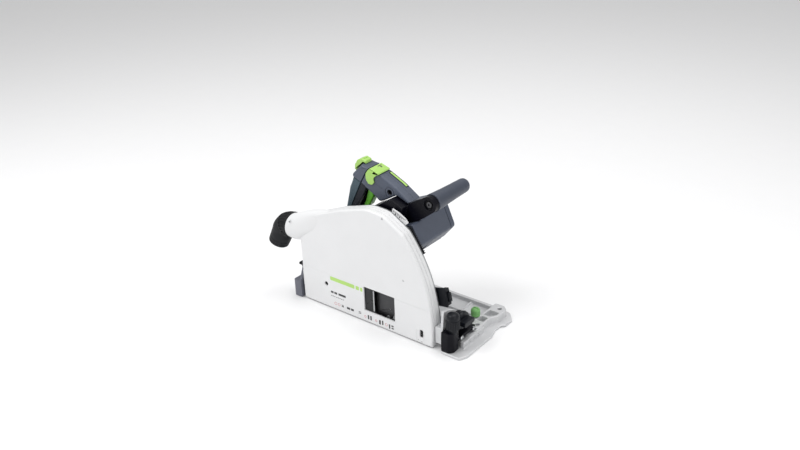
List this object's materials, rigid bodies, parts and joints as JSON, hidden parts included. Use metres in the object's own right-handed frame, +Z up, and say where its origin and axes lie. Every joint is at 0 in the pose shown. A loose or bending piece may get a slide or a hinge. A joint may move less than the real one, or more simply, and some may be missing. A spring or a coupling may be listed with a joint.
{
  "type": "track plunge saw",
  "caption": "Plunge-cut circular saw for a guide rail: cast base, tilting blade guard with sight window, sprung motor unit, rear grip, side handle and swivelling dust elbow.",
  "frame": {"origin": "middle of the whole saw's length and width, on the sole plane", "axes": "+X the cutting direction, +Y from the blade towards the motor, +Z up from the sole"},
  "size_m": [0.4595, 0.1892, 0.2987],
  "materials": {
    "white_plastic": "satin moulded plastic",
    "cast_aluminium": "fine cast, lightly blasted",
    "grey_metal": "machined",
    "slate_plastic": "fine moulded texture",
    "grip_rubber": "soft matt",
    "black_plastic": "fine moulded texture",
    "green_plastic": "satin",
    "steel": "ground",
    "copper": "wound copper and carbon",
    "smoked_window": "smoked, glossy"
  },
  "bodies": {
    "base": {"base_plate": "cast_aluminium", "front_clamp_bracket": "black_plastic", "bracket_screw_inner": "steel", "bracket_screw_outer": "steel", "rear_clamp_bracket": "slate_plastic"},
    "head": {"blade_guard": "white_plastic", "guard_back_plate": "grey_metal", "dust_port": "white_plastic", "front_bevel_segment": "cast_aluminium", "rear_bevel_segment": "cast_aluminium", "plunge_pivot_shaft": "steel", "pivot_retaining_ring": "steel", "plunge_spring": "steel", "depth_scale": "white_plastic", "depth_rack": "black_plastic"},
    "plunge_unit": {"gear_case": "black_plastic", "bearing_plate": "grey_metal", "motor_housing": "slate_plastic", "motor_end_cap": "slate_plastic", "stator": "grey_metal", "brush_front": "copper", "brush_rear": "copper", "motor_electronics": "green_plastic", "spindle_bearing_front": "steel", "spindle_bearing_rear": "steel", "armature_bearing_front": "steel", "armature_bearing_rear": "steel", "handle_near_half": "slate_plastic", "handle_far_half": "slate_plastic", "handle_head_cap": "slate_plastic", "grip_band": "grip_rubber", "inner_grip": "black_plastic", "power_inlet": "black_plastic", "switch_module": "grey_metal", "front_handle": "slate_plastic", "front_handle_screw": "steel", "riving_knife": "steel"},
    "spindle": {"spindle_shaft": "steel", "drive_gear": "steel", "inner_flange": "grey_metal", "outer_flange": "grey_metal", "blade_screw": "steel", "saw_blade": "steel"},
    "idler": {"idler_cluster": "steel"},
    "rotor": {"armature": "copper", "cooling_fan": "black_plastic"},
    "hose_elbow": {"swivel_collar": "black_plastic", "dust_elbow": "black_plastic"},
    "trigger_body": {"trigger": "green_plastic"},
    "release_body": {"plunge_release": "green_plastic"},
    "lock_lever_body": {"spindle_lock_lever": "green_plastic"},
    "depth_stop_body": {"depth_stop": "black_plastic"},
    "stop_button_body": {"depth_stop_button": "green_plastic"},
    "sight_panel_body": {"sight_panel": "smoked_window"},
    "clamp_knob_front_body": {"bevel_clamp_knob_front": "black_plastic"},
    "clamp_knob_rear_body": {"bevel_clamp_knob_rear": "black_plastic"},
    "bevel_stop_knob_body": {"bevel_stop_knob": "black_plastic"},
    "guide_knob_front_body": {"guide_knob_front": "green_plastic"},
    "guide_knob_rear_body": {"guide_knob_rear": "green_plastic"},
    "speed_dial_body": {"speed_dial": "green_plastic"}
  },
  "joints": [
    {"name": "bevel_tilt", "type": "hinge", "parent": "base", "child": "head", "pos_m": [-0.14625, -0.07942, 0.002], "axis": [1, 0, 0], "range_deg": [-1, 47]},
    {"name": "plunge", "type": "hinge", "parent": "head", "child": "plunge_unit", "pos_m": [-0.11625, -0.04542, 0.03], "axis": [0, 1, 0], "range_deg": [0, 32], "stiffness_Nm_per_rad": 12, "springref_deg": -51.57},
    {"name": "spindle_spin", "type": "hinge", "parent": "plunge_unit", "child": "spindle", "pos_m": [0.02622, -0.07042, 0.11903], "axis": [0, 1, 0], "continuous": true},
    {"name": "idler_spin", "type": "hinge", "parent": "plunge_unit", "child": "idler", "pos_m": [0.03935, -0.03142, 0.14767], "axis": [0, 1, 0], "continuous": true},
    {"name": "armature_spin", "type": "hinge", "parent": "plunge_unit", "child": "rotor", "pos_m": [0.05322, 0.01558, 0.17793], "axis": [0, 1, 0], "continuous": true},
    {"name": "trigger_pull", "type": "hinge", "parent": "plunge_unit", "child": "trigger_body", "pos_m": [-0.01225, -0.01542, 0.25], "axis": [0, 1, 0], "range_deg": [0, 8], "stiffness_Nm_per_rad": 0.5, "springref_deg": -17.19},
    {"name": "release_push", "type": "slide", "parent": "plunge_unit", "child": "release_body", "axis": [0.7071, 0, 0.7071], "range_m": [0, 0.005], "stiffness_N_per_m": 400, "springref_m": -0.004},
    {"name": "lock_lever_lift", "type": "hinge", "parent": "plunge_unit", "child": "lock_lever_body", "pos_m": [-0.00325, -0.01542, 0.288], "axis": [0, -1, 0], "range_deg": [0, 25]},
    {"name": "elbow_swivel", "type": "hinge", "parent": "head", "child": "hose_elbow", "pos_m": [-0.19325, -0.06842, 0.146], "axis": [1, 0, 0], "continuous": true},
    {"name": "depth_set", "type": "hinge", "parent": "head", "child": "depth_stop_body", "pos_m": [-0.11625, -0.05142, 0.03], "axis": [0, -1, 0], "range_deg": [0, 22]},
    {"name": "stop_button_push", "type": "slide", "parent": "depth_stop_body", "child": "stop_button_body", "axis": [-0.977, 0, -0.213], "range_m": [0, 0.0015], "stiffness_N_per_m": 600, "springref_m": -0.002},
    {"name": "sight_panel_slide", "type": "slide", "parent": "head", "child": "sight_panel_body", "axis": [1, 0, 0], "range_m": [0, 0.046]},
    {"name": "front_clamp_turn", "type": "hinge", "parent": "base", "child": "clamp_knob_front_body", "pos_m": [0.19875, -0.03828, 0.05103], "axis": [1, 0, 0], "range_deg": [0, 270]},
    {"name": "rear_clamp_turn", "type": "hinge", "parent": "base", "child": "clamp_knob_rear_body", "pos_m": [-0.16225, -0.05753, 0.06214], "axis": [1, 0, 0], "range_deg": [0, 270]},
    {"name": "bevel_stop_turn", "type": "hinge", "parent": "base", "child": "bevel_stop_knob_body", "pos_m": [0.19875, -0.06842, 0.06], "axis": [0, 0, 1], "range_deg": [0, 90]},
    {"name": "guide_front_turn", "type": "hinge", "parent": "base", "child": "guide_knob_front_body", "pos_m": [0.18325, 0.02458, 0.028], "axis": [0, 0, 1], "range_deg": [0, 180]},
    {"name": "guide_rear_turn", "type": "hinge", "parent": "base", "child": "guide_knob_rear_body", "pos_m": [-0.12825, 0.02458, 0.028], "axis": [0, 0, 1], "range_deg": [0, 180]},
    {"name": "speed_dial_turn", "type": "hinge", "parent": "plunge_unit", "child": "speed_dial_body", "pos_m": [0.06881, 0.06358, 0.2022], "axis": [0, 1, 0], "range_deg": [0, 300]}
  ],
  "couplings": [
    {"joint": "idler_spin", "follows": "spindle_spin", "ratio": -1.8182},
    {"joint": "armature_spin", "follows": "spindle_spin", "ratio": 4.9091}
  ]
}
